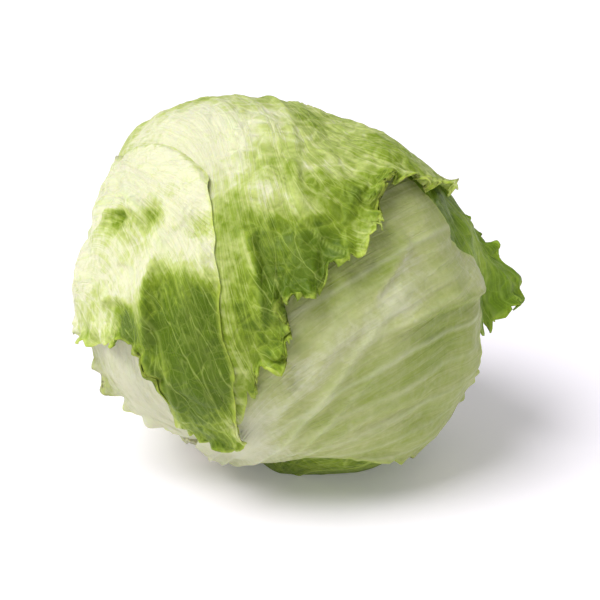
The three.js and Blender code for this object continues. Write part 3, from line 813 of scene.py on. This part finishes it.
def blade_mesh(name, outer, inner, values, places):
    """A closed thin mesh between an outer and an inner sheet, with the material's values on its points."""
    rows, columns = outer.shape[:2]
    index = np.arange(rows * columns).reshape(rows, columns)
    below = index + rows * columns
    rim = np.concatenate([index[0, :-1], index[:-1, -1], index[-1, :0:-1], index[:0:-1, 0]])
    under = rim + rows * columns
    joining = np.stack([np.roll(rim, -1), rim, under, np.roll(under, -1)], -1)
    faces = np.concatenate([sheet_faces(index, False), sheet_faces(below, True), joining])
    points = np.concatenate([outer.reshape(-1, 3), inner.reshape(-1, 3)]) * MM
    mesh = bpy.data.meshes.new(name)
    mesh.vertices.add(len(points))
    mesh.vertices.foreach_set("co", points.ravel())
    mesh.loops.add(faces.size)
    mesh.loops.foreach_set("vertex_index", faces.ravel())
    mesh.polygons.add(len(faces))
    mesh.polygons.foreach_set("loop_start", np.arange(0, faces.size, 4))
    mesh.polygons.foreach_set("use_smooth", np.ones(len(faces), bool))
    mesh.update(calc_edges=True)
    for key, value in values.items():
        layer = mesh.attributes.new(key, "FLOAT", "POINT")
        layer.data.foreach_set("value", np.tile(value.ravel(), 2).astype(np.float32))
    turn, reach = (np.tile(value.ravel(), 2) for value in places)
    uv = mesh.uv_layers.new(name="veins")
    corners = faces.ravel()
    uv.data.foreach_set("uv", np.stack([turn[corners], reach[corners]], -1).ravel())
    mesh.validate()
    piece = bpy.data.objects.new(name, mesh)
    bpy.context.collection.objects.link(piece)
    return piece


def node(tree, kind, **settings):
    """A new shader node. A setting is an attribute, or an input where it starts with in_."""
    made = tree.nodes.new(kind)
    for key, value in settings.items():
        if key.startswith("in_"):
            made.inputs[key[3:].replace("_", " ")].default_value = value
        else:
            setattr(made, key, value)
    return made


def feed(tree, socket, value):
    """Give a socket a number, a colour or what another node puts out."""
    if isinstance(value, (int, float)):
        socket.default_value = value
    elif isinstance(value, tuple):
        socket.default_value = (*value, 1.0)
    else:
        tree.links.new(value, socket)


def math_node(tree, operation, *values, clamp=False):
    """What a math node makes of numbers and of what other nodes put out."""
    made = node(tree, "ShaderNodeMath", operation=operation, use_clamp=clamp)
    for socket, value in zip(made.inputs, values):
        feed(tree, socket, value)
    return made.outputs[0]


MIX_INPUTS, MIX_OUTPUT = (0, 6, 7), 2  # places of a Mix node's factor, its two colours and the mixed one


def mix_colour(tree, factor, a, b):
    """The first colour where the factor is 0, the second where it is 1, and a mix between."""
    made = node(tree, "ShaderNodeMix", data_type="RGBA")
    for place, value in zip(MIX_INPUTS, (factor, a, b)):
        feed(tree, made.inputs[place], value)
    return made.outputs[MIX_OUTPUT]


def thin_line(tree, distance, width):
    """1 where a distance is nothing, falling to 0 where it is a width."""
    return math_node(tree, "SUBTRACT", 1.0, math_node(tree, "DIVIDE", distance, width), clamp=True)


def srgb(red, green, blue):
    """A linear colour from the 0 to 255 values of a screen colour."""
    shares = (red / 255, green / 255, blue / 255)
    return tuple(((c + 0.055) / 1.055) ** 2.4 if c > 0.04 else c / 12.92 for c in shares)


def effect_group(name, inputs, outputs):
    """A shader node group with numbers going in, each with its usual value, and masks coming out."""
    group = bpy.data.node_groups.new(name, "ShaderNodeTree")
    for key, value in inputs.items():
        socket = group.interface.new_socket(name=key, in_out="INPUT", socket_type="NodeSocketFloat")
        socket.default_value = value
    for key in outputs:
        group.interface.new_socket(name=key, in_out="OUTPUT", socket_type="NodeSocketFloat")
    return group, node(group, "NodeGroupInput").outputs, node(group, "NodeGroupOutput").inputs


def along_veins(group, across, along):
    """Places on a blade by its veins: the turn, which stays the same along one, and the way along it."""
    uv = node(group, "ShaderNodeUVMap", uv_map="veins")
    split = node(group, "ShaderNodeSeparateXYZ")
    group.links.new(uv.outputs[0], split.inputs[0])
    place = node(group, "ShaderNodeCombineXYZ")
    group.links.new(math_node(group, "MULTIPLY", split.outputs[0], across), place.inputs[0])
    group.links.new(math_node(group, "MULTIPLY", split.outputs[1], along), place.inputs[1])
    return place.outputs[0]


def swayed(group, place, sway, reach):
    """Places moved unevenly by up to a reach along each axis."""
    group.links.new(place, sway.inputs["Vector"])
    moved = node(group, "ShaderNodeVectorMath", operation="MULTIPLY_ADD")
    group.links.new(sway.outputs["Color"], moved.inputs[0])
    moved.inputs[1].default_value = reach
    group.links.new(place, moved.inputs[2])
    return moved.outputs[0]


def streak_group():
    """Fine streaks that run up a blade and fan out with it."""
    usual = {"Across": 60.0, "Along": 3.0, "Sharpness": 0.1}
    group, ins, out = effect_group("rib streaks", usual, ["Mask"])
    waves = node(group, "ShaderNodeTexNoise", in_Scale=1.0, in_Detail=3.0, in_Roughness=0.6)
    waves.inputs["Distortion"].default_value = 0.6
    group.links.new(along_veins(group, ins["Across"], ins["Along"]), waves.inputs["Vector"])
    off = math_node(group, "ABSOLUTE", math_node(group, "SUBTRACT", waves.outputs[0], 0.5))
    group.links.new(thin_line(group, off, ins["Sharpness"]), out["Mask"])
    return group


def net_group():
    """The fine net of veins between the ribs, and the tissue that bulges in its cells."""
    group, ins, out = effect_group("vein net", {"Scale": 140.0, "Width": 0.06}, ["Mask", "Bulge"])
    sway = node(group, "ShaderNodeTexNoise", in_Scale=90.0, in_Detail=2.0)
    place = node(group, "ShaderNodeTexCoord").outputs["Object"]
    moved = swayed(group, place, sway, (0.006, 0.006, 0.006))
    lines = []
    # The coarse cells come last, because the tissue bulges in them
    for times, strength in ((2.3, 0.6), (1.0, 1.0)):
        cells = node(group, "ShaderNodeTexVoronoi", feature="DISTANCE_TO_EDGE")
        group.links.new(moved, cells.inputs["Vector"])
        group.links.new(math_node(group, "MULTIPLY", ins["Scale"], times), cells.inputs["Scale"])
        line = thin_line(group, cells.outputs["Distance"], ins["Width"])
        lines.append(math_node(group, "MULTIPLY", line, strength))
    group.links.new(math_node(group, "MAXIMUM", *lines), out["Mask"])
    bulge = node(group, "ShaderNodeMapRange", interpolation_type="SMOOTHSTEP", in_From_Max=0.25)
    group.links.new(cells.outputs["Distance"], bulge.inputs["Value"])
    group.links.new(bulge.outputs[0], out["Bulge"])
    return group


def branch_group():
    """Crisp veins that run up a blade and branch, from long cells that follow it."""
    usual = {"Across": 6.0, "Along": 2.5, "Width": 0.05}
    group, ins, out = effect_group("branching veins", usual, ["Mask"])
    sway = node(group, "ShaderNodeTexNoise", in_Scale=1.3, in_Detail=3.0, in_Roughness=0.6)
    moved = swayed(group, along_veins(group, ins["Across"], ins["Along"]), sway, (0.7, 0.7, 0.0))
    lines = []
    for times, strength in ((1.0, 1.0), (2.6, 0.45)):
        cells = node(group, "ShaderNodeTexVoronoi", feature="DISTANCE_TO_EDGE", voronoi_dimensions="2D")
        group.links.new(moved, cells.inputs["Vector"])
        cells.inputs["Scale"].default_value = times
        distance = math_node(group, "DIVIDE", cells.outputs["Distance"], times)
        lines.append(math_node(group, "MULTIPLY", thin_line(group, distance, ins["Width"]), strength))
    group.links.new(math_node(group, "MAXIMUM", *lines), out["Mask"])
    return group


STREAKS = streak_group()
BRANCHES = branch_group()
NET = net_group()


def use_group(tree, group, **values):
    """What an effect group puts out in a material, with the material's own values."""
    made = node(tree, "ShaderNodeGroup", node_tree=group)
    for key, value in values.items():
        made.inputs[key].default_value = value
    return made.outputs


def attribute(tree, name):
    """A value that the mesh keeps on its points."""
    return node(tree, "ShaderNodeAttribute", attribute_name=name).outputs["Fac"]


def new_material(name):
    """A material, its node tree and its shader's inputs."""
    material = bpy.data.materials.new(name)
    material.use_nodes = True
    return material, material.node_tree, material.node_tree.nodes["Principled BSDF"].inputs


def add_bump(tree, shader, height, strength, distance):
    """Let the shader see a height as relief. The distance is in metres."""
    bump = node(tree, "ShaderNodeBump", in_Strength=strength, in_Distance=distance)
    tree.links.new(height, bump.inputs["Height"])
    tree.links.new(bump.outputs[0], shader["Normal"])


# How much the patterns of the tissue change its tone, its colour, its gloss and its height
# The third value darkens the fine grooves: painted shade, as if they fell in shadow
PALE_STREAKS, GREEN_CELLS, PAINTED_CREASE_SHADE = 0.3, 0.2, 0.25
ROUGH_MOTTLE = 0.3
BULGE = 2.5
RISES = (0.35, 0.8, 0.35, -0.2)  # of the lines, the mottle, the broad streaks and the creases


def leaf_material(name, tissue, vein, rim, ribs, branches, streaks, net, mottling, roughness):
    """Leaf tissue from its palest to its deepest colour by tone, with veins and a bright rim.
    The rim is partly the margin's own yellow-green and partly a painted highlight on the edge.

    ribs, branches, streaks and net say how strongly each kind of vein shows."""
    material, tree, shader = new_material(name)
    shader["Subsurface Weight"].default_value = 0.3
    shader["Subsurface Radius"].default_value = (0.7, 1.0, 0.2)
    shader["Subsurface Scale"].default_value = 0.002
    shader["Specular IOR Level"].default_value = 0.2
    mottle = node(tree, "ShaderNodeTexNoise", in_Scale=48.0, in_Detail=4.0, in_Roughness=0.55).outputs[0]
    fine = use_group(tree, STREAKS, Across=34.0, Along=2.0, Sharpness=0.022)
    broad = use_group(tree, STREAKS, Across=11.0, Along=1.2, Sharpness=0.06)
    creases = use_group(tree, STREAKS, Across=52.0, Along=2.6, Sharpness=0.007)
    forks = use_group(tree, BRANCHES, Across=3.6, Along=1.7, Width=0.022)
    cells = use_group(tree, NET, Scale=130.0, Width=0.045)

    tone = math_node(tree, "SUBTRACT", mottle, 0.5)
    tone = math_node(tree, "MULTIPLY_ADD", tone, mottling, attribute(tree, "tone"))
    tone = math_node(tree, "MULTIPLY_ADD", broad["Mask"], -PALE_STREAKS * mottling, tone)
    tone = math_node(tree, "MULTIPLY_ADD", cells["Bulge"], GREEN_CELLS * mottling, tone)
    colours = node(tree, "ShaderNodeValToRGB")
    stops = colours.color_ramp.elements
    while len(stops) < len(tissue):
        stops.new(1.0)
    for i, (stop, colour) in enumerate(zip(stops, tissue)):
        stop.position = i / (len(tissue) - 1)
        stop.color = (*colour, 1.0)
    tree.links.new(tone, colours.inputs[0])

    lines = math_node(tree, "MULTIPLY", fine["Mask"], streaks)
    for mask, strength in ((cells["Mask"], net), (forks["Mask"], branches), (attribute(tree, "vein"), ribs)):
        lines = math_node(tree, "MAXIMUM", lines, math_node(tree, "MULTIPLY", mask, strength), clamp=True)
    colour = mix_colour(tree, lines, colours.outputs[0], vein)
    # Painted shade: the fine grooves are darkened towards the deepest tissue colour
    colour = mix_colour(tree, math_node(tree, "MULTIPLY", creases["Mask"], PAINTED_CREASE_SHADE), colour, tissue[-1])
    # The rim: the margin's yellow-green, partly a painted highlight where the edge catches the lamp
    colour = mix_colour(tree, math_node(tree, "MULTIPLY", attribute(tree, "rim"), mottle), colour, rim)
    tree.links.new(colour, shader["Base Color"])
    tree.links.new(math_node(tree, "MULTIPLY_ADD", mottle, ROUGH_MOTTLE, roughness), shader["Roughness"])

    height = math_node(tree, "MULTIPLY", cells["Bulge"], BULGE * mottling**2)
    for mask, rise in zip((lines, mottle, broad["Mask"], creases["Mask"]), RISES):
        height = math_node(tree, "MULTIPLY_ADD", mask, rise, height)
    add_bump(tree, shader, height, strength=0.55, distance=0.0008)
    return material


def plain_tissue(name, colour, roughness):
    """The tissue of the cut stem and the heart, unevenly darker."""
    material, tree, shader = new_material(name)
    mottle = node(tree, "ShaderNodeTexNoise", in_Scale=120.0, in_Detail=5.0, in_Roughness=0.65).outputs[0]
    darker = tuple(0.8 * c for c in colour)
    tree.links.new(mix_colour(tree, mottle, darker, colour), shader["Base Color"])
    shader["Roughness"].default_value = roughness
    add_bump(tree, shader, mottle, strength=0.3, distance=0.0005)
    return material


# The colours of the leaves' tissue, from the palest to the deepest
PALE_TISSUE = [srgb(210, 212, 178), srgb(178, 185, 122), srgb(148, 163, 76), srgb(116, 138, 42)]
GREEN_TISSUE = [srgb(230, 232, 194), srgb(192, 204, 122), srgb(132, 155, 38), srgb(84, 110, 8)]
DEEP_TISSUE = [srgb(196, 208, 110), srgb(150, 176, 52), srgb(116, 146, 28), srgb(86, 114, 14)]
# Each look's rim colour is partly the margin's own yellow-green and partly a painted highlight
LOOKS = {
    "pale": leaf_material(
        "pale leaf", PALE_TISSUE, vein=srgb(212, 216, 184), rim=srgb(190, 206, 96),
        ribs=0.4, branches=0.03, streaks=0.12, net=0.03, mottling=0.3, roughness=0.3,
    ),
    "green": leaf_material(
        "green leaf", GREEN_TISSUE, vein=srgb(196, 212, 110), rim=srgb(200, 218, 90),
        ribs=0.5, branches=0.42, streaks=0.03, net=0.14, mottling=0.6, roughness=0.36,
    ),
    "deep": leaf_material(
        "deep green leaf", DEEP_TISSUE, vein=srgb(176, 200, 90), rim=srgb(168, 194, 56),
        ribs=0.6, branches=0.65, streaks=0.1, net=0.2, mottling=0.6, roughness=0.34,
    ),
}

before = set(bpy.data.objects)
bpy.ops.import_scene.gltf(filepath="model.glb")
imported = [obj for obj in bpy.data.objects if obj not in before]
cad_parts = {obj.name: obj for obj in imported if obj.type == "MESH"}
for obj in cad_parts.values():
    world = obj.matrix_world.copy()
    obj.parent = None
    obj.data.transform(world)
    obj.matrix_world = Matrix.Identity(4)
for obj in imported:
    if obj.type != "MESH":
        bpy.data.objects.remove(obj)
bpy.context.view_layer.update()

for leaf in LEAVES:
    leaf["cover"] = cover_map(leaf)
for order, leaf in enumerate(LEAVES):
    outer, inner, values, places = leaf_sheets(leaf, order)
    piece = blade_mesh("fine_" + leaf["name"], outer, inner, values, places)
    piece.data.materials.append(LOOKS[leaf["look"]])
    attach(piece, "root")
    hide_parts(leaf["name"])

for name, colour in (("stem", srgb(226, 222, 190)), ("heart", srgb(206, 216, 160))):
    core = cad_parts[name]
    core.data.materials.clear()
    core.data.materials.append(plain_tissue(name + " tissue", colour, 0.5))

# The floor
FLOOR_REACH = 4.0  # metres from the middle to each side
floor_corners = [(x * FLOOR_REACH, y * FLOOR_REACH, 0) for x, y in ((-1, -1), (1, -1), (1, 1), (-1, 1))]
floor_mesh = bpy.data.meshes.new("floor")
floor_mesh.from_pydata(floor_corners, [], [(0, 1, 2, 3)])
floor = bpy.data.objects.new("floor", floor_mesh)
bpy.context.collection.objects.link(floor)
paper, _, paper_shader = new_material("white paper")
paper_shader["Base Color"].default_value = (0.93, 0.89, 0.97, 1)
paper_shader["Roughness"].default_value = 0.9
# Painted light: the floor glows a little, which lightens the shadow under the head
paper_shader["Emission Color"].default_value = (1, 1, 1, 1)
paper_shader["Emission Strength"].default_value = 0.14
paper_shader["Specular IOR Level"].default_value = 0.1
floor_mesh.materials.append(paper)

# A soft white room, which the camera sees as white
ROOM_LIGHT = 0.42
world = bpy.data.worlds.new("soft white room")
world.use_nodes = True
room = world.node_tree.nodes["Background"]
room.inputs["Color"].default_value = (1, 1, 1, 1)
seen = node(world.node_tree, "ShaderNodeLightPath").outputs["Is Camera Ray"]
room_light = math_node(world.node_tree, "MULTIPLY_ADD", seen, 1 - ROOM_LIGHT, ROOM_LIGHT)
world.node_tree.links.new(room_light, room.inputs["Strength"])
bpy.context.scene.world = world
bpy.context.scene.view_settings.view_transform = "Standard"

# A large soft lamp on the left, in front of the head and above it
LAMP_PLACE = (-50, 55)  # longitude and latitude
LAMP_WIDTH = math.radians(36)
LAMP_STRENGTH = 2.7
lamp = bpy.data.lights.new("large soft lamp", "SUN")
lamp.angle = LAMP_WIDTH
lamp.energy = LAMP_STRENGTH
lamp_holder = bpy.data.objects.new("large soft lamp", lamp)
lamp_holder.rotation_euler = Vector(direction(*LAMP_PLACE)).to_track_quat("Z", "Y").to_euler()
bpy.context.collection.objects.link(lamp_holder)

# The camera, a little above the head in front
VIEW_TILT = math.radians(20)
LENS = 100.0
SENSOR = 36.0
PIXELS = 600
MM_PER_PIXEL = 0.43
HEAD_PIXEL = (275, 283)  # where the head's centre is in the picture
right = np.array([1.0, 0, 0])
up = np.array([0, math.sin(VIEW_TILT), math.cos(VIEW_TILT)])
back = np.array([0, -math.cos(VIEW_TILT), math.sin(VIEW_TILT)])
distance = PIXELS * MM_PER_PIXEL * LENS / SENSOR
centre_off = (PIXELS / 2 - HEAD_PIXEL[0]) * right + (HEAD_PIXEL[1] - PIXELS / 2) * up
camera_data = bpy.data.cameras.new("camera")
camera_data.lens = LENS
camera_data.sensor_width = SENSOR
camera = bpy.data.objects.new("camera", camera_data)
camera.location = MM * (CENTRE + distance * back + MM_PER_PIXEL * centre_off)
camera.rotation_euler = (math.pi / 2 - VIEW_TILT, 0, 0)
bpy.context.collection.objects.link(camera)
bpy.context.scene.camera = camera
